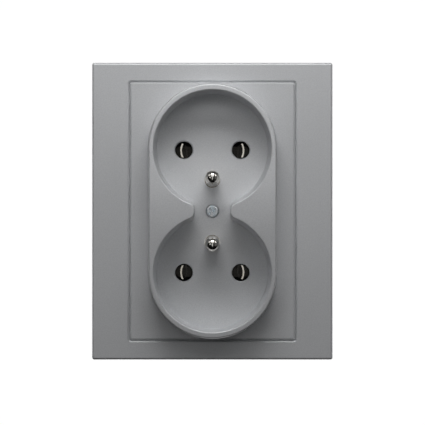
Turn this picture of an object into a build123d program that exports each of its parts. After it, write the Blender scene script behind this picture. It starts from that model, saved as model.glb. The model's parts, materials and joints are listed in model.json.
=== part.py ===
"""Double flush wall socket: two earth-pin outlets under one cover.

The wall is the plane Y = 0, the front looks along -Y and +Z is up. A height is a distance
from the wall into the room, so height 9 lies at Y = -9 and a negative height lies in the
wall box. The origin is the middle of the support plate's back face, between the box screws.
All sizes are in millimetres and angles in degrees.
"""

import math
import os

from build123d import *

os.makedirs("parts", exist_ok=True)

# Outlets
SOCKET_TILT = 3.0
WELL_DIAMETER = 39.2
WELL_BRIDGE = 1.8
WELL_SHIFT = 0.2
WELL_DEPTH = 15.0
WELL_DRAFT = 4.0
WELL_BACK = 5.0
WELL_FRONT = 2.5
CUP_WALL = 2.0
FLOOR_HEIGHT = 5.0
RIDGE_RADIUS = 135.0
THROAT_WIDTH = 11.9
CUSP_RADIUS = 2.4
LIVE_SPACING = 19.0
LIVE_HOLE = 5.9
LIVE_EDGE = 0.3
LIVE_EDGE_ANGLE = 45.0
PIN_OFFSET = 10.0
PIN_HOLE = 5.3

# Centre plate and its boss
RIM_WALL = 1.6
RIM_END = 2.0
RIM_EDGE = 0.4
BOSS_DRAFT = 2.0
BOSS_EDGE = 0.5
WEB_FACE = 2.0
PLATE_SIDE = 6.1
PLATE_END = 0.4
PLATE_GAP = 0.1
PLATE_PROUD = 0.1
PLATE_EDGE = 0.6
SKIRT_GAP = 0.3
SKIRT_WALL = 1.4
SKIRT_DEPTH = 2.6

# Cover frame
FRAME_DEPTH = 9.0
FRAME_CORNER = 1.0
FRAME_EDGE = 0.7
FRAME_DRAFT = 1.0
FRAME_WALL = 1.8
FRAME_FACE = 2.0
FRAME_END = 6.5
OPENING_CORNER = 0.8
OPENING_EDGE = 0.55
LEDGE_WIDTH = 1.4
LEDGE_DROP = 2.6
LEDGE_THICKNESS = 1.6
COLLAR_WALL = 1.6
FRAME_RIB = 1.2
FRAME_RIB_GAP = 26.0

# Cover screw and the bush it goes into
SCREW_HEAD = 4.1
SCREW_HEAD_HEIGHT = 1.5
SCREW_EDGE = 0.5
SCREW_POINT = 0.5
SCREW_SEAT = 4.4
SCREW_SHANK = 2.9
SCREW_TIP = -9.0
SCREW_COUNTERBORE = 4.6
SCREW_HOLE = 3.4
SCREW_POST = 7.4
BUSH_DIAMETER = 5.0
BUSH_BORE = 3.0
BUSH_TOP = -4.0
BUSH_LENGTH = 6.0
RECESS_SHARE = 0.7
RECESS_TURN = 40.0
RECESS_WIDTH = 0.7
RECESS_DEPTH = 0.5
RECESS_TAPER = 28.0

# Support plate
SUPPORT_GAP = 2.95
SUPPORT_CHAMFER = 13.0
SUPPORT_THICKNESS = 1.2
WINDOW_GAP = 0.3
BOX_MARGIN = 5.3
BOX_EDGE = 5.5
BOX_SLOT_WIDTH = 3.6
BOX_SLOT_SIDE = 7.0
BOX_SLOT_UPRIGHT = 5.6
BEAD_INSET = 7.0
BEAD_LENGTH = 13.0
BEAD_WIDTH = 3.0
BEAD_HEIGHT = 0.6
BEAD_EDGE = 0.4
BEAD_ANGLE = 45.0
BEAD_HOLLOW = 1.4
RIVET_SIDE = 4.0
RIVET_ROW = 5.5
RIVET_SHANK = 2.4
RIVET_HOLE = 2.6
RIVET_HEAD = 4.4
RIVET_HEAD_HEIGHT = 0.8
RIVET_EDGE = 0.4

# Socket base and contact lid
BASE_SIDE = 4.4
BASE_END = 4.2
BASE_DEPTH = 23.0
BASE_CORNER = 4.0
BASE_EDGE = 0.8
BASE_WALL = 1.3
BASE_FLOOR = 1.8
PANEL_WIDTH = 15.0
PANEL_HEIGHT = 11.0
PANEL_Z = 13.6
PANEL_DEPTH = 0.5
PANEL_CORNER = 1.0
PARTITION_INSET = 4.7
PARTITION_WALL = 1.0
LID_THICKNESS = 2.6
LID_LIVE_HOLE = 6.4
LID_PIN_HOLE = 5.6
WING_EDGE = 4.1
WING_HEIGHT = 7.0
WING_THICKNESS = 2.4
POST_DIAMETER = 8.0
PAD_INSET = 8.5
PAD_LENGTH = 4.0
EARTH_PAD_INSET = 5.0
EARTH_PAD_LENGTH = 1.6
FOOT_PAD = 0.7
LID_LIP = 1.0
LIP_GAP = 0.2
LIP_WALL = 1.2

# Live and neutral bars with their spring leaves
BAR_HEIGHT = -15.5
BAR_THICKNESS = 0.8
BAR_WIDTH = 6.6
BAR_SHIFT = 0.4
BAR_GAP = 1.4
BAR_CORNER = 1.5
LEAF_RADIUS = 4.8
LEAF_THICKNESS = 0.5
LEAF_REST = 0.7
LEAF_CHORD = 4.6
OUTER_LEAF_DROP = 2.6
INNER_LEAF_DROP = 10.5

# Earth bar and pins
EARTH_DROP = 7.2
EARTH_THICKNESS = 1.0
EARTH_GAP = 0.3
EARTH_END = 4.0
EARTH_LEG = 0.9
FOOT_END = 4.4
PIN_DIAMETER = 4.8
PIN_START = 0.1
PIN_ROOT = 4.4
PIN_SHANK = 5.3
PIN_SHOULDER = -2.4
PIN_LENGTH = 13.5
PIN_TIP = 2.3
PIN_COLLAR = 6.4
PIN_COLLAR_HEIGHT = 1.2
PIN_NECK = 3.6
PIN_NECK_HOLE = 3.7
PIN_TAIL = 5.6
PIN_TAIL_HEIGHT = 0.8

# Terminals
TERMINAL_HOLE = 3.6
TERMINAL_SHANK = 3.5
TERMINAL_HEAD = 5.8
TERMINAL_HEAD_HEIGHT = 2.2
TERMINAL_EDGE = 0.55
TERMINAL_REACH = 2.2
CLAMP_SIZE = 6.0
CLAMP_THICKNESS = 1.2
WIRE_GAP = 1.4
EARTH_TERMINAL_GAP = 3.1
CLAMP_CORNER = 0.8
NOTCH_WIDTH = 7.0

# Spreading claws
CLAW_PIVOT_GAP = 2.5
CLAW_PIVOT_HEIGHT = -1.6
CLAW_ROLL = 2.2
CLAW_ROLL_LENGTH = 13.0
CLAW_SHEET = 1.4
CLAW_WIDTH = 8.0
CLAW_ARM = 10.7
CLAW_BEND = 1.5
CLAW_REACH = 11.6
CLAW_TEETH = 3
CLAW_TOOTH_DEPTH = 1.4
CLAW_SLOT_START = 1.3
CLAW_SLOT_END = 7.9
CLAW_SLOT_WIDTH = 3.7
CLAW_SCREW_GAP = 6.0
CLAW_SCREW_SHANK = 3.0
CLAW_SCREW_HOLE = 3.6
CLAW_SCREW_HEAD = 5.2
CLAW_SCREW_HEAD_HEIGHT = 2.0
CLAW_SCREW_EDGE = 0.5
CLAW_SCREW_TIP = -17.0
CRADLE_GAP = 0.3
CRADLE_EDGE = 2.2
CRADLE_DEPTH = 4.4
CRADLE_INSIDE = 4.4
CRADLE_OUTSIDE = 7.0

# Worked out from the sizes above
TILT = math.radians(SOCKET_TILT)
WELL_RADIUS = WELL_DIAMETER / 2
WELL_PITCH = WELL_DIAMETER + WELL_BRIDGE
WELL_CENTRE = WELL_PITCH / 2 + WELL_SHIFT
POLE_X = LIVE_SPACING / 2
PIN_Z = WELL_PITCH / 2 - PIN_OFFSET
BASE_WIDTH = LIVE_SPACING + 2 * BASE_SIDE
BASE_HEIGHT = WELL_PITCH + 2 * BASE_END
BASE_INSIDE_WIDTH = BASE_WIDTH - 2 * BASE_WALL
BASE_INSIDE_HEIGHT = BASE_HEIGHT - 2 * BASE_WALL
BASE_INSIDE_BACK = BASE_FLOOR - BASE_DEPTH
PARTITION_X = POLE_X - PARTITION_INSET
PARTITION_FRONT = -LID_LIP - LIP_GAP
PAD_Z = WELL_PITCH / 2 - PAD_INSET
BAR_LENGTH = BASE_INSIDE_HEIGHT - 2 * BAR_GAP
EARTH_WIDTH = 2 * (PARTITION_X - PARTITION_WALL / 2 - EARTH_GAP)
EARTH_REACH = PIN_Z + EARTH_END
EARTH_TERMINAL_Z = -EARTH_REACH - EARTH_TERMINAL_GAP
FOOT_REACH = FOOT_END - EARTH_TERMINAL_Z
CLAMP_FRONT = BAR_HEIGHT - WIRE_GAP
HEAD_FRONT = CLAMP_FRONT - CLAMP_THICKNESS
RIVET_X = BASE_WIDTH / 2 + RIVET_SIDE
RIVET_Z = CRADLE_OUTSIDE + RIVET_ROW
WING_REACH = RIVET_X + WING_EDGE
CLAW_PIVOT_X = BASE_WIDTH / 2 + CLAW_PIVOT_GAP
CLAW_SCREW_X = CLAW_PIVOT_X + CLAW_SCREW_GAP
CRADLE_REACH = CLAW_PIVOT_X + CRADLE_EDGE
BOX_SPAN = BASE_HEIGHT + 2 * BOX_MARGIN
SUPPORT_SIZE = BOX_SPAN + 2 * BOX_EDGE
BEAD_RADIUS = (SUPPORT_SIZE - SUPPORT_CHAMFER) / math.sqrt(2) - BEAD_INSET
LEDGE_HEIGHT = FRAME_DEPTH - LEDGE_DROP
COLLAR_HEIGHT = LEDGE_HEIGHT - LEDGE_THICKNESS
FACE_BACK = FRAME_DEPTH - FRAME_FACE
PLATE_FRONT = FRAME_DEPTH + PLATE_PROUD
PLATE_THICKNESS = PLATE_FRONT - LEDGE_HEIGHT
RIM_RADIUS = WELL_RADIUS + RIM_WALL
BOSS_CENTRE = WELL_CENTRE + RIM_END - RIM_WALL
BOSS_SLOPE = math.tan(math.radians(BOSS_DRAFT))
RIM_END_DROP = (BOSS_CENTRE + RIM_RADIUS - WELL_PITCH / 2) * math.tan(TILT)
RIM_END_HEIGHT = FLOOR_HEIGHT + WELL_DEPTH / math.cos(TILT) - RIM_END_DROP
BOSS_FOOT = RIM_RADIUS + (RIM_END_HEIGHT - PLATE_FRONT) * BOSS_SLOPE
PLATE_WIDTH = 2 * (BOSS_FOOT + PLATE_SIDE)
PLATE_HEIGHT = 2 * (BOSS_CENTRE + BOSS_FOOT + PLATE_END)
OPENING_WIDTH = PLATE_WIDTH + 2 * PLATE_GAP
OPENING_HEIGHT = PLATE_HEIGHT + 2 * PLATE_GAP
SKIRT_WIDTH = OPENING_WIDTH - 2 * (LEDGE_WIDTH + SKIRT_GAP)
SKIRT_HEIGHT = OPENING_HEIGHT - 2 * (LEDGE_WIDTH + SKIRT_GAP)
FRAME_WIDTH = SUPPORT_SIZE + 2 * (SUPPORT_GAP + FRAME_WALL)
FRAME_HEIGHT = OPENING_HEIGHT + 2 * FRAME_END
FAR = FRAME_HEIGHT


def front(height):
    """The plane parallel to the wall at a height, looking into the room."""
    return Plane.XZ.offset(height)


def outlet_plane(outlet):
    """The well floor of the upper outlet, 1, or the lower one, -1. Its y axis leaves the waist."""
    return Plane(
        origin=(0, -FLOOR_HEIGHT, outlet * WELL_PITCH / 2),
        x_dir=(outlet, 0, 0),
        z_dir=(0, -math.cos(TILT), outlet * math.sin(TILT)),
    )


def waist_height(offset):
    """Height at which the two tilted planes this far in front of the well floors meet."""
    return FLOOR_HEIGHT + WELL_PITCH / 2 * math.tan(TILT) + offset / math.cos(TILT)


def room_before(offset):
    """The space before two tilted planes this far in front of the floors, with a rounded ridge."""
    ridge = waist_height(offset)
    end = ridge - FAR * math.tan(TILT)
    with BuildPart() as room:
        with BuildSketch(Plane.YZ) as side_view:
            with BuildLine():
                Polyline((-ridge, 0), (-end, FAR), (-FAR, FAR), (-FAR, -FAR), (-end, -FAR), close=True)
            make_face()
            fillet(side_view.vertices().group_by(Axis.Y)[1], RIDGE_RADIUS + offset)
        extrude(amount=FAR, both=True)
    return room.part


def well_room(grow, floor_offset, rounded):
    """The figure-eight hollow of both wells and their throat, grown all round by a wall."""
    back_radius = WELL_RADIUS + grow - (WELL_DEPTH + WELL_BACK) * math.tan(math.radians(WELL_DRAFT))
    length = WELL_BACK + WELL_DEPTH + WELL_FRONT
    with BuildPart() as room:
        with BuildSketch(front(FLOOR_HEIGHT - WELL_BACK)):
            with GridLocations(0, 2 * WELL_CENTRE, 1, 2):
                Circle(back_radius)
        extrude(amount=length, taper=-WELL_DRAFT)
        with BuildSketch(front(FLOOR_HEIGHT - WELL_BACK)):
            Rectangle(THROAT_WIDTH + 2 * grow, THROAT_WIDTH)
        extrude(amount=length)
        if rounded:
            corners = room.edges().filter_by(
                lambda edge: abs(edge.center().Z) < THROAT_WIDTH / 2
                and abs(abs(edge.center().X) - THROAT_WIDTH / 2) < RIM_EDGE
                and edge.length > WELL_DEPTH
            )
            fillet(corners, CUSP_RADIUS)
        add(room_before(floor_offset), mode=Mode.INTERSECT)
    return room.part


def cross_recess(plane, head):
    """The cross-shaped driver recess of a screw, sunk into a head of this diameter from a plane."""
    length = head * RECESS_SHARE
    with BuildPart() as recess:
        with BuildSketch(plane):
            Rectangle(length, RECESS_WIDTH, rotation=RECESS_TURN)
            Rectangle(RECESS_WIDTH, length, rotation=RECESS_TURN)
        extrude(amount=-RECESS_DEPTH, taper=RECESS_TAPER)
    return recess.part


def finish(piece, name):
    """Label a finished piece and write it to its own file."""
    piece.label = name
    export_step(piece, f"parts/{name}.step")


# Cover frame: a drafted shell with a collar and a ledge that the centre plate presses on
with BuildPart() as cover_frame:
    with BuildSketch(front(0)):
        RectangleRounded(FRAME_WIDTH, FRAME_HEIGHT, FRAME_CORNER)
    extrude(amount=FRAME_DEPTH, taper=FRAME_DRAFT)
    fillet(cover_frame.faces().sort_by(Axis.Y)[0].edges(), FRAME_EDGE)
    with BuildSketch(front(0)):
        Rectangle(FRAME_WIDTH - 2 * FRAME_WALL, FRAME_HEIGHT - 2 * FRAME_WALL)
    extrude(amount=FACE_BACK, mode=Mode.SUBTRACT)
    with BuildSketch(front(COLLAR_HEIGHT)):
        Rectangle(OPENING_WIDTH + 2 * COLLAR_WALL, OPENING_HEIGHT + 2 * COLLAR_WALL)
        with GridLocations(0, FRAME_RIB_GAP, 1, 4):
            Rectangle(FRAME_WIDTH - 2 * FRAME_WALL, FRAME_RIB)
        with GridLocations(FRAME_RIB_GAP, 0, 3, 1):
            Rectangle(FRAME_RIB, FRAME_HEIGHT - 2 * FRAME_WALL)
    extrude(amount=FACE_BACK - COLLAR_HEIGHT)
    with BuildSketch(front(LEDGE_HEIGHT)):
        RectangleRounded(OPENING_WIDTH, OPENING_HEIGHT, OPENING_CORNER)
    extrude(amount=FRAME_DEPTH, mode=Mode.SUBTRACT)
    with BuildSketch(front(0)):
        Rectangle(OPENING_WIDTH - 2 * LEDGE_WIDTH, OPENING_HEIGHT - 2 * LEDGE_WIDTH)
    extrude(amount=FRAME_DEPTH, mode=Mode.SUBTRACT)
    face_edges = cover_frame.faces().sort_by(Axis.Y)[0].inner_wires().edges()
    chamfer(face_edges, OPENING_EDGE)
finish(cover_frame.part, "cover_frame")

# Tools for the centre plate
well = well_room(0, 0, True)
cup = well_room(CUP_WALL, -CUP_WALL, False)
before_rim = room_before(WELL_DEPTH)
before_web = room_before(WELL_DEPTH - WEB_FACE)

with BuildPart() as web_hollow:
    with BuildSketch(front(0)):
        SlotCenterToCenter(2 * BOSS_CENTRE, 2 * WELL_RADIUS, rotation=90)
    extrude(amount=FAR)
    add(before_web, mode=Mode.SUBTRACT)
    add(cup, mode=Mode.SUBTRACT)

# Centre plate: flat plate, drafted boss with a ridge at the waist, and two wells with tilted floors
with BuildPart() as centre_plate:
    with BuildSketch(front(LEDGE_HEIGHT)):
        RectangleRounded(PLATE_WIDTH, PLATE_HEIGHT, OPENING_CORNER)
    extrude(amount=PLATE_THICKNESS)
    chamfer(centre_plate.faces().sort_by(Axis.Y)[0].edges(), PLATE_EDGE)
    with BuildSketch(front(LEDGE_HEIGHT)):
        SlotCenterToCenter(2 * BOSS_CENTRE, 2 * (BOSS_FOOT + PLATE_THICKNESS * BOSS_SLOPE), rotation=90)
    extrude(amount=2 * WELL_DEPTH, taper=BOSS_DRAFT)
    add(before_rim, mode=Mode.SUBTRACT)
    boss_rim = centre_plate.edges().filter_by(
        lambda edge: -edge.center().Y > FRAME_DEPTH + WELL_DEPTH / 2
        and (abs(edge.center().X) > THROAT_WIDTH or abs(edge.center().Z) > WELL_PITCH / 2)
    )
    fillet(boss_rim, BOSS_EDGE)
    split(cup, bisect_by=front(PLATE_FRONT), keep=Keep.BOTTOM, mode=Mode.ADD)
    with BuildSketch(front(LEDGE_HEIGHT)):
        Rectangle(SKIRT_WIDTH, SKIRT_HEIGHT)
        Rectangle(SKIRT_WIDTH - 2 * SKIRT_WALL, SKIRT_HEIGHT - 2 * SKIRT_WALL, mode=Mode.SUBTRACT)
    extrude(amount=-SKIRT_DEPTH)
    with BuildSketch(front(LID_THICKNESS)):
        Circle(SCREW_POST / 2)
    extrude(amount=FLOOR_HEIGHT - LID_THICKNESS)
    add(web_hollow.part, mode=Mode.SUBTRACT)
    add(well, mode=Mode.SUBTRACT)
    well_rim = centre_plate.edges(Select.NEW).filter_by(
        lambda edge: -edge.center().Y > FRAME_DEPTH + WELL_DEPTH / 2
    )
    fillet(well_rim, RIM_EDGE)
    for outlet in (1, -1):
        with BuildSketch(outlet_plane(outlet)):
            with GridLocations(LIVE_SPACING, 0, 2, 1):
                Circle(LIVE_HOLE / 2)
            with Locations((0, -PIN_OFFSET)):
                Circle(PIN_HOLE / 2)
        extrude(amount=-2 * CUP_WALL, mode=Mode.SUBTRACT)
        with BuildSketch(outlet_plane(outlet)):
            with GridLocations(LIVE_SPACING, 0, 2, 1):
                Circle(LIVE_HOLE / 2 + LIVE_EDGE)
        extrude(amount=-LIVE_EDGE, taper=LIVE_EDGE_ANGLE, mode=Mode.SUBTRACT)
    with BuildSketch(front(SCREW_SEAT)):
        Circle(SCREW_COUNTERBORE / 2)
    extrude(amount=2 * CUP_WALL, mode=Mode.SUBTRACT)
    with BuildSketch(front(SCREW_SEAT)):
        Circle(SCREW_HOLE / 2)
    extrude(amount=-2 * CUP_WALL, mode=Mode.SUBTRACT)
finish(centre_plate.part, "centre_plate")

# Cover screw, with a low domed head in the throat's counterbore
with BuildPart() as cover_screw:
    with BuildSketch(front(SCREW_SEAT)):
        Circle(SCREW_HEAD / 2)
    extrude(amount=SCREW_HEAD_HEIGHT)
    fillet(cover_screw.faces().sort_by(Axis.Y)[0].edges(), SCREW_EDGE)
    with BuildSketch(front(SCREW_SEAT)):
        Circle(SCREW_SHANK / 2)
    extrude(amount=SCREW_TIP - SCREW_SEAT)
    chamfer(cover_screw.faces().sort_by(Axis.Y)[-1].edges(), SCREW_POINT)
    add(cross_recess(front(SCREW_SEAT + SCREW_HEAD_HEIGHT), SCREW_HEAD), mode=Mode.SUBTRACT)
finish(cover_screw.part, "cover_screw")

# Threaded bush in the base's middle post
with BuildPart() as screw_bush:
    with BuildSketch(front(BUSH_TOP)):
        Circle(BUSH_DIAMETER / 2)
        Circle(BUSH_BORE / 2, mode=Mode.SUBTRACT)
    extrude(amount=-BUSH_LENGTH)
finish(screw_bush.part, "screw_bush")

# Support plate: stamped sheet that lies on the wall round the box
with BuildPart() as support_plate:
    with BuildSketch(front(0)) as outline:
        Rectangle(SUPPORT_SIZE, SUPPORT_SIZE)
        chamfer(outline.vertices(), SUPPORT_CHAMFER)
        RectangleRounded(
            BASE_WIDTH + 2 * WINDOW_GAP,
            BASE_HEIGHT + 2 * WINDOW_GAP,
            BASE_CORNER + WINDOW_GAP,
            mode=Mode.SUBTRACT,
        )
        with GridLocations(BOX_SPAN, 0, 2, 1):
            SlotOverall(BOX_SLOT_SIDE, BOX_SLOT_WIDTH, mode=Mode.SUBTRACT)
        with GridLocations(0, BOX_SPAN, 1, 2):
            SlotOverall(BOX_SLOT_UPRIGHT, BOX_SLOT_WIDTH, rotation=90, mode=Mode.SUBTRACT)
        with GridLocations(2 * RIVET_X, 2 * RIVET_Z, 2, 2):
            Circle(RIVET_HOLE / 2, mode=Mode.SUBTRACT)
        with GridLocations(2 * CLAW_SCREW_X, 0, 2, 1):
            Circle(CLAW_SCREW_HOLE / 2, mode=Mode.SUBTRACT)
    extrude(amount=SUPPORT_THICKNESS)
    # Stiffening beads pressed out of the four corners
    with BuildSketch(front(SUPPORT_THICKNESS)):
        with PolarLocations(BEAD_RADIUS, 4, start_angle=BEAD_ANGLE):
            SlotOverall(BEAD_LENGTH, BEAD_WIDTH, rotation=90)
    extrude(amount=BEAD_HEIGHT)
    fillet(support_plate.faces().group_by(Axis.Y)[0].edges(), BEAD_EDGE)
    with BuildSketch(front(0)):
        with PolarLocations(BEAD_RADIUS, 4, start_angle=BEAD_ANGLE):
            SlotOverall(BEAD_LENGTH - BEAD_WIDTH + BEAD_HOLLOW, BEAD_HOLLOW, rotation=90)
    extrude(amount=BEAD_HEIGHT, mode=Mode.SUBTRACT)
finish(support_plate.part, "support_plate")


def rivet(x, z):
    """A rivet through the support plate and one wing of the base."""
    with BuildPart() as piece:
        with BuildSketch(front(-WING_THICKNESS - RIVET_HEAD_HEIGHT)):
            with Locations((x, z)):
                Circle(RIVET_SHANK / 2)
        extrude(amount=SUPPORT_THICKNESS + WING_THICKNESS + 2 * RIVET_HEAD_HEIGHT)
        with BuildSketch(front(SUPPORT_THICKNESS), front(-WING_THICKNESS - RIVET_HEAD_HEIGHT)):
            with Locations((x, z)):
                Circle(RIVET_HEAD / 2)
        extrude(amount=RIVET_HEAD_HEIGHT)
        fillet(piece.faces().sort_by(Axis.Y)[0].edges(), RIVET_EDGE)
    return piece.part


for column, side in (("left", -1), ("right", 1)):
    for row, outlet in (("upper", 1), ("lower", -1)):
        finish(rivet(side * RIVET_X, outlet * RIVET_Z), f"rivet_{row}_{column}")

# Pads that carry the bent earth bar, cut to its slope
with BuildPart() as earth_pads:
    with BuildSketch(front(BASE_INSIDE_BACK)):
        with GridLocations(0, 2 * (PIN_Z - EARTH_PAD_INSET), 1, 2):
            Rectangle(2 * PARTITION_X, EARTH_PAD_LENGTH)
    extrude(amount=BASE_DEPTH)
    add(room_before(-EARTH_DROP - EARTH_THICKNESS), mode=Mode.SUBTRACT)

# Socket base: an open moulding with partitions, pads, rivet wings and claw cradles
with BuildPart() as socket_base:
    with BuildSketch(front(-BASE_DEPTH)):
        RectangleRounded(BASE_WIDTH, BASE_HEIGHT, BASE_CORNER)
    extrude(amount=BASE_DEPTH)
    fillet(socket_base.faces().sort_by(Axis.Y)[-1].edges(), BASE_EDGE)
    with BuildSketch(front(BASE_INSIDE_BACK)):
        RectangleRounded(BASE_INSIDE_WIDTH, BASE_INSIDE_HEIGHT, BASE_CORNER - BASE_WALL)
    extrude(amount=BASE_DEPTH, mode=Mode.SUBTRACT)
    with BuildSketch(front(BASE_INSIDE_BACK)):
        with GridLocations(2 * PARTITION_X, 0, 2, 1):
            Rectangle(PARTITION_WALL, BASE_INSIDE_HEIGHT)
    extrude(amount=PARTITION_FRONT - BASE_INSIDE_BACK)
    with BuildSketch(front(BASE_INSIDE_BACK)):
        with GridLocations(0, 2 * PAD_Z, 1, 2):
            Rectangle(BASE_INSIDE_WIDTH, PAD_LENGTH)
        with Locations((0, EARTH_TERMINAL_Z)):
            with GridLocations(2 * PARTITION_X - PARTITION_WALL - FOOT_PAD, 0, 2, 1):
                Rectangle(FOOT_PAD, NOTCH_WIDTH)
    extrude(amount=BAR_HEIGHT - BASE_INSIDE_BACK)
    add(earth_pads.part)
    with BuildSketch(front(BASE_INSIDE_BACK)):
        Circle(POST_DIAMETER / 2)
    extrude(amount=BUSH_TOP - BASE_INSIDE_BACK)
    with BuildSketch(front(BUSH_TOP)):
        Circle(BUSH_DIAMETER / 2)
    extrude(amount=-BUSH_LENGTH, mode=Mode.SUBTRACT)
    # Open notches round the terminals, for the wires and the screwdriver
    with BuildSketch(front(-BASE_DEPTH)):
        for x, z, rotation in ((POLE_X, 0, 0), (-POLE_X, 0, 180), (0, EARTH_TERMINAL_Z, -90)):
            with Locations(Location((x, z), rotation)):
                Circle(NOTCH_WIDTH / 2)
                Rectangle(NOTCH_WIDTH, NOTCH_WIDTH, align=(Align.MIN, Align.CENTER))
    extrude(amount=BASE_DEPTH + BAR_HEIGHT, mode=Mode.SUBTRACT)
    # Shallow bare panel on the back
    with BuildSketch(front(-BASE_DEPTH)):
        with Locations((0, PANEL_Z)):
            RectangleRounded(PANEL_WIDTH, PANEL_HEIGHT, PANEL_CORNER)
    extrude(amount=PANEL_DEPTH, mode=Mode.SUBTRACT)
    # Wings for the rivets
    with BuildSketch(front(-WING_THICKNESS)):
        with GridLocations(0, 2 * RIVET_Z, 1, 2):
            Rectangle(2 * WING_REACH, WING_HEIGHT)
        Rectangle(BASE_INSIDE_WIDTH, BASE_INSIDE_HEIGHT, mode=Mode.SUBTRACT)
        with GridLocations(2 * RIVET_X, 2 * RIVET_Z, 2, 2):
            Circle(RIVET_HOLE / 2, mode=Mode.SUBTRACT)
    extrude(amount=WING_THICKNESS)
    # Cradles that the claws turn in, closed in front by the support plate
    with BuildSketch(front(-CRADLE_DEPTH)):
        Rectangle(2 * CRADLE_REACH, 2 * CRADLE_OUTSIDE)
        Rectangle(2 * CRADLE_REACH, 2 * CRADLE_INSIDE, mode=Mode.SUBTRACT)
        Rectangle(BASE_INSIDE_WIDTH, BASE_INSIDE_HEIGHT, mode=Mode.SUBTRACT)
    extrude(amount=CRADLE_DEPTH)
    with BuildSketch(Plane.XY):
        with GridLocations(2 * CLAW_PIVOT_X, 0, 2, 1):
            Rectangle(CLAW_ROLL + 2 * CRADLE_GAP, -2 * CLAW_PIVOT_HEIGHT)
            with Locations((0, -CLAW_PIVOT_HEIGHT)):
                Circle(CLAW_ROLL / 2 + CRADLE_GAP)
    extrude(amount=CRADLE_OUTSIDE, both=True, mode=Mode.SUBTRACT)
finish(socket_base.part, "socket_base")

# Contact lid, with a lip inside the base's walls
with BuildPart() as contact_lid:
    with BuildSketch(front(0)):
        RectangleRounded(BASE_WIDTH, BASE_HEIGHT, BASE_CORNER)
    extrude(amount=LID_THICKNESS)
    with BuildSketch(front(0)) as lip:
        RectangleRounded(
            BASE_INSIDE_WIDTH - 2 * LIP_GAP,
            BASE_INSIDE_HEIGHT - 2 * LIP_GAP,
            BASE_CORNER - BASE_WALL - LIP_GAP,
        )
        offset(amount=-LIP_WALL, mode=Mode.SUBTRACT)
    extrude(amount=-LID_LIP)
    for outlet in (1, -1):
        with BuildSketch(outlet_plane(outlet)):
            with GridLocations(LIVE_SPACING, 0, 2, 1):
                Circle(LID_LIVE_HOLE / 2)
            with Locations((0, -PIN_OFFSET)):
                Circle(LID_PIN_HOLE / 2)
        extrude(amount=-FLOOR_HEIGHT - 2 * LID_LIP, mode=Mode.SUBTRACT)
    with BuildSketch(front(0)):
        Circle(SCREW_HOLE / 2)
    extrude(amount=LID_THICKNESS, mode=Mode.SUBTRACT)
finish(contact_lid.part, "contact_lid")


def contact_bar(side):
    """The strip of one pole, right 1 or left -1, with a pair of curved leaves for each outlet."""
    strip_depth = (FLOOR_HEIGHT - BAR_HEIGHT - BAR_THICKNESS / 2) / math.cos(TILT)
    with BuildPart() as bar:
        with BuildSketch(front(BAR_HEIGHT)):
            with Locations((side * (POLE_X - BAR_SHIFT), 0)):
                RectangleRounded(BAR_WIDTH, BAR_LENGTH, BAR_CORNER)
            with Locations((side * POLE_X, 0)):
                Circle(TERMINAL_HOLE / 2, mode=Mode.SUBTRACT)
        extrude(amount=BAR_THICKNESS)
        for outlet in (1, -1):
            for outward, drop in ((side * outlet, OUTER_LEAF_DROP), (-side * outlet, INNER_LEAF_DROP)):
                pole = side * outlet * POLE_X
                with BuildSketch(outlet_plane(outlet).offset(-drop)):
                    with Locations((pole + outward * (LEAF_REST - LEAF_RADIUS), 0)):
                        Circle(LEAF_RADIUS + LEAF_THICKNESS)
                        Circle(LEAF_RADIUS, mode=Mode.SUBTRACT)
                    with Locations((pole + outward * LEAF_REST, 0)):
                        Rectangle(LEAF_RADIUS, LEAF_CHORD, mode=Mode.INTERSECT)
                extrude(amount=drop - strip_depth)
    return bar.part


finish(contact_bar(-1), "live_bar")
finish(contact_bar(1), "neutral_bar")

# Earth bar: a strip bent at the waist to stay square to both pins, with a leg to its terminal
with BuildPart() as earth_bar:
    with BuildSketch(front(-EARTH_REACH)):
        Rectangle(EARTH_WIDTH, 2 * EARTH_REACH)
    extrude(amount=EARTH_REACH)
    add(room_before(-EARTH_DROP - EARTH_THICKNESS), mode=Mode.INTERSECT)
    add(room_before(-EARTH_DROP), mode=Mode.SUBTRACT)
    with BuildSketch(front(0)):
        Circle(SCREW_HOLE / 2)
    extrude(amount=-EARTH_REACH, mode=Mode.SUBTRACT)
    for outlet in (1, -1):
        with BuildSketch(outlet_plane(outlet)):
            with Locations((0, -PIN_OFFSET)):
                Circle(PIN_NECK_HOLE / 2)
        extrude(amount=-2 * EARTH_DROP, mode=Mode.SUBTRACT)
    leg_front = waist_height(-EARTH_DROP - EARTH_THICKNESS / 2) - EARTH_REACH * math.tan(TILT)
    with BuildSketch(front(BAR_HEIGHT)):
        with Locations((0, -EARTH_REACH)):
            Rectangle(EARTH_WIDTH, EARTH_LEG, align=(Align.CENTER, Align.MIN))
    extrude(amount=leg_front - BAR_HEIGHT)
    with BuildSketch(front(BAR_HEIGHT)):
        with Locations((0, -FOOT_REACH)):
            Rectangle(EARTH_WIDTH, FOOT_REACH - EARTH_REACH + EARTH_LEG, align=(Align.CENTER, Align.MIN))
        with Locations((0, EARTH_TERMINAL_Z)):
            Circle(TERMINAL_HOLE / 2, mode=Mode.SUBTRACT)
    extrude(amount=BAR_THICKNESS)
finish(earth_bar.part, "earth_bar")


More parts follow.
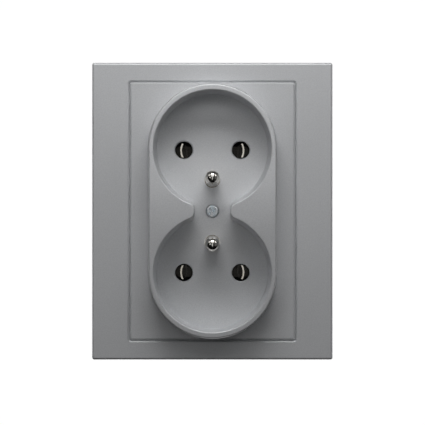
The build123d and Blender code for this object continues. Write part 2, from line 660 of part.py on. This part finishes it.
def earth_pin(outlet):
    """The earth pin of the upper outlet, 1, or the lower one, -1, riveted to the earth bar."""
    floor = outlet_plane(outlet)
    bar_back = -EARTH_DROP - EARTH_THICKNESS
    with BuildPart() as pin:
        for start, length, diameter in (
            (PIN_START, PIN_LENGTH - PIN_START, PIN_DIAMETER),
            (-EARTH_DROP, EARTH_DROP + PIN_START, PIN_ROOT),
            (-EARTH_DROP, EARTH_DROP + PIN_SHOULDER, PIN_SHANK),
            (-EARTH_DROP, PIN_COLLAR_HEIGHT, PIN_COLLAR),
            (bar_back, EARTH_THICKNESS, PIN_NECK),
            (bar_back - PIN_TAIL_HEIGHT, PIN_TAIL_HEIGHT, PIN_TAIL),
        ):
            with BuildSketch(floor.offset(start)):
                with Locations((0, -PIN_OFFSET)):
                    Circle(diameter / 2)
            extrude(amount=length)
        fillet(pin.faces().sort_by(Axis.Y)[0].edges(), PIN_TIP)
    return pin.part


finish(earth_pin(1), "earth_pin_upper")
finish(earth_pin(-1), "earth_pin_lower")


def terminal_clamp(x, z):
    """The plate under a terminal screw's head that presses the wire on the bar."""
    with BuildPart() as clamp:
        with BuildSketch(front(HEAD_FRONT)):
            with Locations((x, z)):
                RectangleRounded(CLAMP_SIZE, CLAMP_SIZE, CLAMP_CORNER)
                Circle(TERMINAL_HOLE / 2, mode=Mode.SUBTRACT)
        extrude(amount=CLAMP_THICKNESS)
    return clamp.part


def terminal_screw(x, z):
    """A terminal screw, driven from the back through its clamp into the bar."""
    back = HEAD_FRONT - TERMINAL_HEAD_HEIGHT
    with BuildPart() as screw:
        with BuildSketch(front(back)):
            with Locations((x, z)):
                Circle(TERMINAL_HEAD / 2)
        extrude(amount=TERMINAL_HEAD_HEIGHT)
        fillet(screw.faces().sort_by(Axis.Y)[-1].edges(), TERMINAL_EDGE)
        with BuildSketch(front(HEAD_FRONT)):
            with Locations((x, z)):
                Circle(TERMINAL_SHANK / 2)
        extrude(amount=BAR_HEIGHT + BAR_THICKNESS + TERMINAL_REACH - HEAD_FRONT)
        head_plane = Plane(origin=(x, -back, z), x_dir=(1, 0, 0), z_dir=(0, 1, 0))
        add(cross_recess(head_plane, TERMINAL_HEAD), mode=Mode.SUBTRACT)
    return screw.part


for pole, x, z in (("live", -POLE_X, 0), ("neutral", POLE_X, 0), ("earth", 0, EARTH_TERMINAL_Z)):
    finish(terminal_clamp(x, z), f"{pole}_clamp")
    finish(terminal_screw(x, z), f"{pole}_terminal_screw")


def claw(side):
    """A spreading claw, right 1 or left -1: a bent sheet with a rolled hinge end and a toothed flange."""
    pivot_x = side * CLAW_PIVOT_X
    flange_y = CLAW_ARM - CLAW_PIVOT_HEIGHT
    tip_x = pivot_x + side * CLAW_REACH
    slot_length = CLAW_SLOT_END - CLAW_SLOT_START
    slot_x = pivot_x + side * (CLAW_SLOT_START + slot_length / 2)
    with BuildPart() as piece:
        with BuildSketch(Plane.XY):
            with BuildLine():
                FilletPolyline(
                    (pivot_x, -CLAW_PIVOT_HEIGHT),
                    (pivot_x, flange_y),
                    (tip_x, flange_y),
                    radius=CLAW_BEND,
                )
            trace(line_width=CLAW_SHEET)
        extrude(amount=CLAW_WIDTH / 2, both=True)
        with BuildSketch(Plane.XY):
            with Locations((pivot_x, -CLAW_PIVOT_HEIGHT)):
                Circle(CLAW_ROLL / 2)
        extrude(amount=CLAW_ROLL_LENGTH / 2, both=True)
        with BuildSketch(front(-flange_y)):
            with Locations((slot_x, 0)):
                SlotOverall(slot_length, CLAW_SLOT_WIDTH)
            with Locations((tip_x, 0)):
                with GridLocations(0, CLAW_WIDTH / CLAW_TEETH, 1, CLAW_TEETH + 1):
                    Rectangle(CLAW_TOOTH_DEPTH, CLAW_TOOTH_DEPTH, rotation=45)
        extrude(amount=CLAW_SHEET, both=True, mode=Mode.SUBTRACT)
    return piece.part


def claw_screw(side):
    """The long screw that pulls a claw, with its head on the support plate."""
    x = side * CLAW_SCREW_X
    head_top = SUPPORT_THICKNESS + CLAW_SCREW_HEAD_HEIGHT
    with BuildPart() as screw:
        with BuildSketch(front(SUPPORT_THICKNESS)):
            with Locations((x, 0)):
                Circle(CLAW_SCREW_HEAD / 2)
        extrude(amount=CLAW_SCREW_HEAD_HEIGHT)
        fillet(screw.faces().sort_by(Axis.Y)[0].edges(), CLAW_SCREW_EDGE)
        with BuildSketch(front(SUPPORT_THICKNESS)):
            with Locations((x, 0)):
                Circle(CLAW_SCREW_SHANK / 2)
        extrude(amount=CLAW_SCREW_TIP - SUPPORT_THICKNESS)
        head_plane = Plane(origin=(x, -head_top, 0), x_dir=(1, 0, 0), z_dir=(0, -1, 0))
        add(cross_recess(head_plane, CLAW_SCREW_HEAD), mode=Mode.SUBTRACT)
    return screw.part


for column, side in (("left", -1), ("right", 1)):
    finish(claw(side), f"claw_{column}")
    finish(claw_screw(side), f"claw_screw_{column}")
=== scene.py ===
"""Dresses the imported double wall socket: finishes, screw threads, studio and camera.

Everything is in metres in the CAD frame: the wall is Y = 0, the front looks along -Y, +Z is up.
"""

import json
import logging
import math
from abc import ABC, abstractmethod
from dataclasses import dataclass, field
from enum import Enum
from typing import Any

import bmesh
import bpy
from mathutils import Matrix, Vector

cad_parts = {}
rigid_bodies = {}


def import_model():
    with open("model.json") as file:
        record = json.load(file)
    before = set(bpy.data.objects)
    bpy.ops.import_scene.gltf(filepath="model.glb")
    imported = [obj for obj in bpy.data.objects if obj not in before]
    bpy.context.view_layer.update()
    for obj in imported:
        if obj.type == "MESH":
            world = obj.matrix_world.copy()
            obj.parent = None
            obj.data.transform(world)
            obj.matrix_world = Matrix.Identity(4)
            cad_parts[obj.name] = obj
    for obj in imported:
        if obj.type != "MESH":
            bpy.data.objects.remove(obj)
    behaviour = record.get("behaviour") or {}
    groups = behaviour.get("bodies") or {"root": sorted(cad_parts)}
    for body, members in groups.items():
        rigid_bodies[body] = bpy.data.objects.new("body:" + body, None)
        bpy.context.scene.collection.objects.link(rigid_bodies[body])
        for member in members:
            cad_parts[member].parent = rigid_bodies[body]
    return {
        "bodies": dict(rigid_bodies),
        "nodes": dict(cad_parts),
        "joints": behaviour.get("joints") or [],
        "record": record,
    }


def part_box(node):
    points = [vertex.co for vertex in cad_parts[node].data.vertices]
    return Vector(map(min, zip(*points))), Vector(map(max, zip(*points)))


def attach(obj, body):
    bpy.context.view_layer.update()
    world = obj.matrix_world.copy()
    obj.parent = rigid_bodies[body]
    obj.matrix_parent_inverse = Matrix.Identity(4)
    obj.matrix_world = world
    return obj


LOG = logging.getLogger("socket")
Colour = tuple[float, float, float]
Point = tuple[float, float, float]
Socket = bpy.types.NodeSocket

# The middle of a noise value, where nearly all of it lies
NOISE_LOW = 0.3
NOISE_HIGH = 0.7

# Octaves of noise
SMOOTH = 1.0
PLAIN = 2.0
ROUGH = 3.0

# Turn that lays a shape's upright axis into the wall, in radians
INTO_WALL: Point = (-math.pi / 2, 0.0, 0.0)

# What the light panels face
FRONT_AIM: Point = (0.0, -0.01, 0.0)
BACK_AIM: Point = (0.0, 0.01, 0.0)
EDGE_AIM: Point = (0.0, 0.0, 0.0)


class Slot(Enum):
    """The record's material slots."""

    LACQUER = "grey_lacquer"
    MOULDING = "dark_moulding"
    ZINC = "zinc_steel"
    BRASS = "contact_brass"
    NICKEL = "pin_nickel"


class Body(Enum):
    """The body that the added pieces ride on."""

    SOCKET = "socket"


class Bench:
    """Adds nodes to one node tree and wires them up."""

    def __init__(self, tree: bpy.types.NodeTree) -> None:
        """Keep the tree to work on.

        Args:
            tree: The tree that takes the nodes.
        """
        self.tree = tree

    def add(
        self, kind: str, inputs: dict[str, Any] | None = None, **settings: Any
    ) -> bpy.types.Node:
        """Add one node.

        Args:
            kind: Blender's type name of the node.
            inputs: Socket names with a fixed value, or with an output socket to wire in.
            settings: Properties of the node itself.

        Returns:
            The new node.
        """
        node = self.tree.nodes.new(kind)
        for name, value in settings.items():
            setattr(node, name, value)
        for name, value in (inputs or {}).items():
            if isinstance(value, Socket):
                self.tree.links.new(value, node.inputs[name])
            else:
                node.inputs[name].default_value = value
        return node

    def noise(self, place: Socket, scale: float, detail: float = PLAIN) -> Socket:
        """Add a noise texture.

        Args:
            place: The coordinates to read.
            scale: Features per metre.
            detail: Octaves of finer noise.

        Returns:
            The noise value's socket.
        """
        inputs = {"Vector": place, "Scale": scale, "Detail": detail}
        return self.add("ShaderNodeTexNoise", inputs).outputs["Fac"]

    def spread(self, value: Socket, low: float, high: float) -> Socket:
        """Map the middle of a noise value to a range.

        Args:
            value: The noise value.
            low: The result at the noise's low side.
            high: The result at its high side.

        Returns:
            The mapped value's socket.
        """
        ends = {
            "Value": value,
            "From Min": NOISE_LOW,
            "From Max": NOISE_HIGH,
            "To Min": low,
            "To Max": high,
        }
        return self.add("ShaderNodeMapRange", ends).outputs["Result"]


class Finish(ABC):
    """A surface finish that makes one material."""

    slot: Slot

    def make(self) -> bpy.types.Material:
        """Make the material with its shader, and let the finish paint it.

        Returns:
            The finished material.
        """
        material = bpy.data.materials.new(f"finish_{self.slot.value}")
        material.use_nodes = True
        bench = Bench(material.node_tree)
        shader = material.node_tree.nodes["Principled BSDF"]
        place = bench.add("ShaderNodeTexCoord").outputs["Object"]
        self.paint(bench, shader, place)
        return material

    @abstractmethod
    def paint(self, bench: Bench, shader: bpy.types.Node, place: Socket) -> None:
        """Set up the shader.

        Args:
            bench: The material's node bench.
            shader: The surface shader.
            place: Object coordinates.
        """


def tinted(bench: Bench, value: Socket, dark: Colour, light: Colour) -> Socket:
    """Mix two colours by a noise value.

    Args:
        bench: The material's node bench.
        value: The noise value.
        dark: Colour at the noise's low side.
        light: Colour at its high side.

    Returns:
        The mixed colour's socket.
    """
    ramp = bench.add("ShaderNodeValToRGB", {"Fac": value})
    stops = zip(ramp.color_ramp.elements, (NOISE_LOW, NOISE_HIGH), (dark, light))
    for stop, position, colour in stops:
        stop.position = position
        stop.color = (*colour, 1.0)
    return ramp.outputs["Color"]


@dataclass(frozen=True)
class Relief:
    """A fine bump: its height in metres and the share of it that shows."""

    depth: float
    strength: float

    def press(self, bench: Bench, shader: bpy.types.Node, height: Socket) -> None:
        """Give a shader the bump.

        Args:
            bench: The material's node bench.
            shader: The surface shader.
            height: The bump's height value.
        """
        inputs = {"Height": height, "Distance": self.depth, "Strength": self.strength}
        bump = bench.add("ShaderNodeBump", inputs)
        bench.tree.links.new(bump.outputs["Normal"], shader.inputs["Normal"])


@dataclass(frozen=True)
class SatinLacquer(Finish):
    """Grey metallic lacquer with fine flakes, cloudy gloss and a faint orange peel."""

    slot: Slot = Slot.LACQUER
    dark: Colour = (0.695, 0.705, 0.72)
    light: Colour = (0.785, 0.795, 0.81)
    metallic: float = 0.6
    roughness: tuple[float, float] = (0.5, 0.56)
    flakes: float = 4200.0
    peel: float = 900.0
    clouds: float = 45.0
    relief: Relief = Relief(2e-5, 0.25)

    def paint(self, bench: Bench, shader: bpy.types.Node, place: Socket) -> None:
        """Colour by flakes, gloss by clouds, bump by peel.

        Args:
            bench: The material's node bench.
            shader: The surface shader.
            place: Object coordinates.
        """
        flakes = bench.noise(place, self.flakes, SMOOTH)
        colour = tinted(bench, flakes, self.dark, self.light)
        gloss = bench.spread(bench.noise(place, self.clouds), *self.roughness)
        bench.tree.links.new(colour, shader.inputs["Base Color"])
        bench.tree.links.new(gloss, shader.inputs["Roughness"])
        shader.inputs["Metallic"].default_value = self.metallic
        self.relief.press(bench, shader, bench.noise(place, self.peel, ROUGH))


@dataclass(frozen=True)
class DarkMoulding(Finish):
    """Dark thermoset moulding with a dull, slightly mottled skin."""

    slot: Slot = Slot.MOULDING
    dark: Colour = (0.028, 0.028, 0.03)
    light: Colour = (0.05, 0.05, 0.053)
    roughness: tuple[float, float] = (0.42, 0.6)
    mottle: float = 380.0
    grain: float = 2600.0
    relief: Relief = Relief(1.5e-5, 0.35)

    def paint(self, bench: Bench, shader: bpy.types.Node, place: Socket) -> None:
        """Colour and gloss by mottle, bump by grain.

        Args:
            bench: The material's node bench.
            shader: The surface shader.
            place: Object coordinates.
        """
        mottle = bench.noise(place, self.mottle, ROUGH)
        colour = tinted(bench, mottle, self.dark, self.light)
        bench.tree.links.new(colour, shader.inputs["Base Color"])
        bench.tree.links.new(bench.spread(mottle, *self.roughness), shader.inputs["Roughness"])
        self.relief.press(bench, shader, bench.noise(place, self.grain))


@dataclass(frozen=True)
class PlatedMetal(Finish):
    """Plated or stamped metal with cloudy stains and fine rolling lines."""

    slot: Slot
    dark: Colour
    light: Colour
    roughness: tuple[float, float]
    metallic: float = 1.0
    stains: float = 240.0
    lines: Point = (900.0, 900.0, 9000.0)
    relief: Relief = Relief(4e-6, 0.3)

    def paint(self, bench: Bench, shader: bpy.types.Node, place: Socket) -> None:
        """Colour by stains, gloss and bump by rolling lines.

        Args:
            bench: The material's node bench.
            shader: The surface shader.
            place: Object coordinates.
        """
        stretched = bench.add("ShaderNodeMapping", {"Vector": place, "Scale": self.lines})
        lines = bench.noise(stretched.outputs["Vector"], 1.0)
        stains = bench.noise(place, self.stains, ROUGH)
        colour = tinted(bench, stains, self.dark, self.light)
        bench.tree.links.new(colour, shader.inputs["Base Color"])
        bench.tree.links.new(bench.spread(lines, *self.roughness), shader.inputs["Roughness"])
        shader.inputs["Metallic"].default_value = self.metallic
        self.relief.press(bench, shader, lines)


@dataclass(frozen=True)
class ContactBrass(PlatedMetal):
    """Stamped brass at its own colour at the leaf tips and at the terminals, with painted shade
    darkening it between, deep in the housing.

    The tip and the back are where the painted shade's fade starts and ends, as Y in metres. The
    fade's own positions are shares of the way between them.
    """

    tip: float = -0.0024
    back: float = 0.0155
    # painted shade: the share of the colour kept deep in the housing, between the tips and the
    # terminals
    painted_shade: float = 0.05
    dark_from: float = 0.15
    dark_to: float = 0.96
    bright_from: float = 0.99

    def paint(self, bench: Bench, shader: bpy.types.Node, place: Socket) -> None:
        """Paint shade on the stamped metal inside the housing, darkening its colour with depth.

        Args:
            bench: The material's node bench.
            shader: The surface shader.
            place: Object coordinates.
        """
        super().paint(bench, shader, place)
        # painted shade: the colour is darkened by depth along Y into the housing
        unshaded_colour = shader.inputs["Base Color"].links[0].from_socket
        inward = bench.add("ShaderNodeSeparateXYZ", {"Vector": place}).outputs["Y"]
        ends = {"Value": inward, "From Min": self.tip, "From Max": self.back}
        depth = bench.add("ShaderNodeMapRange", ends).outputs["Result"]
        ramp = bench.add("ShaderNodeValToRGB", {"Fac": depth})
        stops = ramp.color_ramp.elements
        stops[1].position = self.bright_from
        for spot in (self.dark_from, self.dark_to):
            stops.new(spot)
        for stop, shade in zip(stops, (1.0, self.painted_shade, self.painted_shade, 1.0)):
            stop.color = (shade, shade, shade, 1.0)
        shade_inputs = {"Color": unshaded_colour, "Value": ramp.outputs["Color"]}
        shaded_colour = bench.add("ShaderNodeHueSaturation", shade_inputs)
        bench.tree.links.new(shaded_colour.outputs["Color"], shader.inputs["Base Color"])


FINISHES: tuple[Finish, ...] = (
    SatinLacquer(),
    DarkMoulding(),
    PlatedMetal(
        slot=Slot.ZINC,
        dark=(0.78, 0.88, 0.94),
        light=(1.0, 1.0, 1.0),
        roughness=(0.3, 0.5),
        metallic=0.8,
        stains=900.0,
    ),
    ContactBrass(
        slot=Slot.BRASS,
        dark=(0.90, 0.85, 0.74),
        light=(1.0, 0.96, 0.87),
        roughness=(0.18, 0.3),
    ),
    PlatedMetal(
        slot=Slot.NICKEL,
        dark=(0.76, 0.73, 0.68),
        light=(0.84, 0.81, 0.76),
        roughness=(0.12, 0.16),
        lines=(2000.0, 400.0, 2000.0),
    ),
)


@dataclass
class Workshop:
    """The loaded frame with the materials that dress it."""

    frame: dict[str, Any]
    materials: dict[Slot, bpy.types.Material] = field(default_factory=dict)

    def dress(self, node: str, slot: Slot) -> None:
        """Give a CAD node its finish.

        Args:
            node: The node's name.
            slot: The slot whose material it takes.
        """
        self.frame["nodes"][node].material_slots[0].material = self.materials[slot]
        LOG.info("dressed %s in %s", node, slot.value)

    def keep(self, name: str, mesh: bpy.types.Mesh, body: Body) -> None:
        """Keep a finished mesh as a piece that rides on a body.

        Args:
            name: The piece's name.
            mesh: Its mesh, in place.
            body: The body it rides on.
        """
        piece = bpy.data.objects.new(name, mesh)
        bpy.context.scene.collection.objects.link(piece)
        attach(piece, body.value)
        LOG.info("made %s with %d faces on %s", name, len(mesh.polygons), body.value)


class GrownPart(ABC):
    """A shape grown by Geometry Nodes at a set of points."""

    def tree(self) -> bpy.types.NodeTree:
        """Make the node tree with its named inputs.

        Returns:
            The tree, ending in realized instances with a material.
        """
        tree = bpy.data.node_groups.new(type(self).__name__, "GeometryNodeTree")
        sockets = tree.interface
        sockets.new_socket("Geometry", in_out="INPUT", socket_type="NodeSocketGeometry")
        for name, (kind, _) in self.inputs().items():
            sockets.new_socket(name, in_out="INPUT", socket_type=kind)
        sockets.new_socket("Geometry", in_out="OUTPUT", socket_type="NodeSocketGeometry")
        bench = Bench(tree)
        given = bench.add("NodeGroupInput")
        shape, turn = self.shape(bench, given)
        spots = {"Points": given.outputs["Geometry"], "Instance": shape, "Rotation": turn}
        placed = bench.add("GeometryNodeInstanceOnPoints", spots)
        instances = {"Geometry": placed.outputs["Instances"]}
        real = bench.add("GeometryNodeRealizeInstances", instances)
        paint = {"Geometry": real.outputs["Geometry"], "Material": given.outputs["Material"]}
        painted = bench.add("GeometryNodeSetMaterial", paint)
        bench.add("NodeGroupOutput", {"Geometry": painted.outputs["Geometry"]})
        return tree

    @abstractmethod
    def inputs(self) -> dict[str, tuple[str, Any]]:
        """List the tree's named inputs.

        Returns:
            Each input's socket type and value by its name.
        """

    @abstractmethod
    def shape(self, bench: Bench, given: bpy.types.Node) -> tuple[Socket, Point]:
        """Add the nodes of one instance.

        Args:
            bench: The tree's node bench.
            given: The node that holds the named inputs.

        Returns:
            The shape's geometry socket and its turn in radians.
        """

    def grow(self, name: str, spots: list[Point]) -> bpy.types.Mesh:
        """Grow the shape at some points and make it a plain mesh.

        Args:
            name: The mesh's name.
            spots: Where the instances stand.

        Returns:
            The finished mesh.
        """
        seeds = bpy.data.meshes.new(f"{name}_spots")
        seeds.from_pydata(spots, [], [])
        carrier = bpy.data.objects.new(f"{name}_spots", seeds)
        bpy.context.scene.collection.objects.link(carrier)
        modifier = carrier.modifiers.new("grow", "NODES")
        modifier.node_group = self.tree()
        for item in modifier.node_group.interface.items_tree:
            if item.in_out == "INPUT" and item.name in self.inputs():
                modifier[item.identifier] = self.inputs()[item.name][1]
        ready = carrier.evaluated_get(bpy.context.evaluated_depsgraph_get())
        mesh = bpy.data.meshes.new_from_object(ready)
        mesh.name = name
        carrier.modifiers.remove(modifier)
        bpy.data.objects.remove(carrier)
        return mesh


@dataclass
class Thread(GrownPart):
    """A screw thread wound round a shank that points into the wall."""

    material: bpy.types.Material
    radius: float
    turns: float
    lead: float = 0.0006
    ridge: float = 0.00022
    steps: int = 20
    ridge_sides: int = 3

    def inputs(self) -> dict[str, tuple[str, Any]]:
        """List the tree's named inputs.

        Returns:
            Each input's socket type and value by its name.
        """
        return {
            "Radius": ("NodeSocketFloat", self.radius),
            "Turns": ("NodeSocketFloat", self.turns),
            "Lead": ("NodeSocketFloat", self.lead),
            "Ridge": ("NodeSocketFloat", self.ridge),
            "Material": ("NodeSocketMaterial", self.material),
        }

    def shape(self, bench: Bench, given: bpy.types.Node) -> tuple[Socket, Point]:
        """Sweep a three-sided ridge along a spiral.

        Args:
            bench: The tree's node bench.
            given: The node that holds the named inputs.

        Returns:
            The thread's geometry socket and its turn in radians.
        """
        sizes = given.outputs
        height = bench.add("ShaderNodeMath", operation="MULTIPLY")
        bench.tree.links.new(sizes["Turns"], height.inputs[0])
        bench.tree.links.new(sizes["Lead"], height.inputs[1])
        path = {
            "Resolution": self.steps,
            "Rotations": sizes["Turns"],
            "Start Radius": sizes["Radius"],
            "End Radius": sizes["Radius"],
            "Height": height.outputs["Value"],
        }
        spiral = bench.add("GeometryNodeCurveSpiral", path)
        section = {"Resolution": self.ridge_sides, "Radius": sizes["Ridge"]}
        profile = bench.add("GeometryNodeCurvePrimitiveCircle", section)
        sweep = {
            "Curve": spiral.outputs["Curve"],
            "Profile Curve": profile.outputs["Curve"],
            "Fill Caps": True,
        }
        return bench.add("GeometryNodeCurveToMesh", sweep).outputs["Mesh"], INTO_WALL


@dataclass
class Cover:
    """The cover frame and the centre plate with its screw and pins."""

    lacquered: tuple[str, ...] = ("cover_frame", "centre_plate")
    pins: tuple[str, ...] = ("earth_pin_upper", "earth_pin_lower")
    screw: str = "cover_screw"

    def build(self, shop: Workshop) -> None:
        """Dress the cover's nodes.

        Args:
            shop: The loaded frame and its materials.
        """
        for node in self.lacquered:
            shop.dress(node, Slot.LACQUER)
        for node in self.pins:
            shop.dress(node, Slot.NICKEL)
        shop.dress(self.screw, Slot.ZINC)


@dataclass
class Insert:
    """The support plate with the moulded base, its lid, rivets and contacts."""

    moulded: tuple[str, ...] = ("socket_base", "contact_lid")
    rivets: tuple[str, ...] = (
        "rivet_upper_left",
        "rivet_upper_right",
        "rivet_lower_left",
        "rivet_lower_right",
    )
    contacts: tuple[str, ...] = ("live_bar", "neutral_bar", "earth_bar", "screw_bush")
    plate: str = "support_plate"

    def build(self, shop: Workshop) -> None:
        """Dress the insert's nodes.

        Args:
            shop: The loaded frame and its materials.
        """
        for node in self.moulded:
            shop.dress(node, Slot.MOULDING)
        for node in self.contacts:
            shop.dress(node, Slot.BRASS)
        for node in (self.plate, *self.rivets):
            shop.dress(node, Slot.ZINC)


@dataclass
class Terminals:
    """The three terminals: screws with threads, and their clamps."""

    poles: tuple[str, ...] = ("live", "neutral", "earth")
    thread_start: float = 0.0129
    thread_turns: float = 7.0
    shank: float = 0.00168

    def build(self, shop: Workshop) -> None:
        """Dress the clamps and screws and wind the threads.

        Args:
            shop: The loaded frame and its materials.
        """
        spots = []
        for pole in self.poles:
            shop.dress(f"{pole}_clamp", Slot.ZINC)
            shop.dress(f"{pole}_terminal_screw", Slot.ZINC)
            low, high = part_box(f"{pole}_terminal_screw")
            spots.append(((low[0] + high[0]) / 2, self.thread_start, (low[2] + high[2]) / 2))
        thread = Thread(shop.materials[Slot.ZINC], self.shank, self.thread_turns)
        mesh = thread.grow("terminal_threads", spots)
        shop.keep("terminal_threads", mesh, Body.SOCKET)


@dataclass
class ClawPair:
    """The two spreading claws with the long screws that pull them."""

    sides: tuple[str, ...] = ("left", "right")
    thread_start: float = 0.0022
    thread_turns: float = 24.0
    shank: float = 0.00146

    def build(self, shop: Workshop) -> None:
        """Dress the claws and screws and wind the threads.

        Args:
            shop: The loaded frame and its materials.
        """
        spots = []
        for side in self.sides:
            shop.dress(f"claw_{side}", Slot.ZINC)
            shop.dress(f"claw_screw_{side}", Slot.ZINC)
            low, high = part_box(f"claw_screw_{side}")
            spots.append(((low[0] + high[0]) / 2, self.thread_start, (low[2] + high[2]) / 2))
        thread = Thread(shop.materials[Slot.ZINC], self.shank, self.thread_turns)
        mesh = thread.grow("claw_screw_threads", spots)
        shop.keep("claw_screw_threads", mesh, Body.SOCKET)


@dataclass(frozen=True)
class SoftLight:
    """One soft panel of light, with its width and height in metres."""

    name: str
    place: Point
    size: tuple[float, float]
    watts: float
    aim: Point = FRONT_AIM

    def build(self) -> None:
        """Hang the panel and turn it to its aim."""
        panel = bpy.data.lights.new(self.name, "AREA")
        panel.shape = "RECTANGLE"
        panel.size, panel.size_y = self.size
        panel.energy = self.watts
        lamp = bpy.data.objects.new(self.name, panel)
        lamp.location = self.place
        sight = Vector(self.aim) - Vector(self.place)
        lamp.rotation_euler = sight.to_track_quat("-Z", "Y").to_euler()
        bpy.context.scene.collection.objects.link(lamp)


@dataclass
class Studio:
    """Pale floor and backdrop, dim air, and the soft panels."""

    floor_height: float = -1.0
    floor_radius: float = 3.3
    floor_segments: int = 96
    dome_radius: float = 3.5
    dome_segments: tuple[int, int] = (48, 24)
    pale: Colour = (1.0, 1.0, 1.0)
    paper_roughness: float = 0.9
    glow: float = 1.0
    air: Colour = (0.004, 0.004, 0.004)
    panels: tuple[SoftLight, ...] = (
        SoftLight("key_panel", (0.0, -0.26, 0.259), (0.24, 0.061), 0.262),
        SoftLight("high_panel", (0.0, -0.201, 0.305), (0.24, 0.061), 0.349),
        SoftLight("low_panel", (0.0, -0.246, 0.11), (0.173, 0.044), 0.033),
        SoftLight("front_panel", (0.0, -0.9, -0.06), (0.16, 0.8), 0.27),
        SoftLight("front_left_panel", (-0.5, -0.75, 0.05), (0.25, 0.25), 0.199),
        SoftLight("right_panel", (0.4, -0.3, 0.0), (0.4, 0.4), 0.053),
        SoftLight("top_left_panel", (-0.3, -0.2, 0.25), (0.2, 0.2), 0.1),
        SoftLight("top_right_panel", (0.3, -0.2, 0.25), (0.2, 0.2), 0.148),
        SoftLight("left_edge_panel", (-0.35, 0.26, 0.0), (0.3, 0.3), 0.5, EDGE_AIM),
        SoftLight("right_edge_panel", (0.35, 0.26, 0.0), (0.3, 0.3), 0.5, EDGE_AIM),
        SoftLight("bottom_edge_panel", (0.0, 0.26, -0.35), (0.3, 0.3), 0.4, EDGE_AIM),
        SoftLight("back_panel", (0.2, 0.9, 0.3), (0.8, 0.6), 2.4, BACK_AIM),
    )

    def build(self) -> None:
        """Set up the stage and the lights."""
        self.disc("floor")
        self.dome("backdrop")
        world = bpy.data.worlds.new("air")
        world.use_nodes = True
        sky = world.node_tree.nodes["Background"]
        sky.inputs["Color"].default_value = (*self.air, 1.0)
        bpy.context.scene.world = world
        for panel in self.panels:
            panel.build()
        bpy.context.scene.view_settings.view_transform = "Standard"

    def paper(self, name: str) -> bpy.types.Material:
        """Make the pale glow of the stage.

        Args:
            name: The material's name.

        Returns:
            The stage's material.
        """
        material = bpy.data.materials.new(name)
        material.use_nodes = True
        shader = material.node_tree.nodes["Principled BSDF"]
        shader.inputs["Base Color"].default_value = (*self.pale, 1.0)
        shader.inputs["Roughness"].default_value = self.paper_roughness
        shader.inputs["Emission Color"].default_value = (*self.pale, 1.0)
        shader.inputs["Emission Strength"].default_value = self.glow
        return material

    def show(self, name: str, made: bmesh.types.BMesh) -> None:
        """Put a stage mesh in the scene, seen by the camera alone.

        Args:
            name: The object's name.
            made: Its mesh.
        """
        mesh = bpy.data.meshes.new(name)
        made.to_mesh(mesh)
        made.free()
        mesh.materials.append(self.paper(f"{name}_paper"))
        sheet = bpy.data.objects.new(name, mesh)
        bpy.context.scene.collection.objects.link(sheet)
        for ray in ("diffuse", "glossy", "transmission", "volume_scatter", "shadow"):
            setattr(sheet, f"visible_{ray}", False)

    def disc(self, name: str) -> None:
        """Lay the round floor.

        Args:
            name: The floor's name.
        """
        made = bmesh.new()
        bmesh.ops.create_circle(
            made, cap_ends=True, segments=self.floor_segments, radius=self.floor_radius
        )
        bmesh.ops.translate(made, verts=made.verts, vec=(0.0, 0.0, self.floor_height))
        self.show(name, made)

    def dome(self, name: str) -> None:
        """Hang the backdrop all round.

        Args:
            name: The backdrop's name.
        """
        around, upward = self.dome_segments
        made = bmesh.new()
        bmesh.ops.create_uvsphere(
            made, u_segments=around, v_segments=upward, radius=self.dome_radius
        )
        bmesh.ops.reverse_faces(made, faces=made.faces)
        self.show(name, made)


@dataclass(frozen=True)
class PhotoCamera:
    """A long lens straight before the socket, with angles in degrees."""

    place: Point = (-0.00388, -1.9616, -0.01423)
    pitch: float = 0.4051
    turn: float = -0.1154
    level: float = 90.0
    lens: float = 495.98
    sensor: float = 36.0
    clip: tuple[float, float] = (0.1, 20.0)

    def build(self) -> None:
        """Make the camera and use it."""
        data = bpy.data.cameras.new("photo_camera")
        data.lens = self.lens
        data.sensor_width = self.sensor
        data.clip_start, data.clip_end = self.clip
        camera = bpy.data.objects.new("photo_camera", data)
        camera.location = self.place
        tilt = math.radians(self.level + self.pitch)
        camera.rotation_euler = (tilt, 0.0, math.radians(self.turn))
        bpy.context.scene.collection.objects.link(camera)
        bpy.context.scene.camera = camera


def main() -> None:
    """Load the frame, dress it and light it."""
    logging.basicConfig(level=logging.INFO, format="%(name)s: %(message)s")
    shop = Workshop(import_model())
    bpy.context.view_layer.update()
    for finish in FINISHES:
        shop.materials[finish.slot] = finish.make()
    for part in (Cover(), Insert(), Terminals(), ClawPair()):
        part.build(shop)
    Studio().build()
    PhotoCamera().build()


if __name__ == "__main__":
    main()
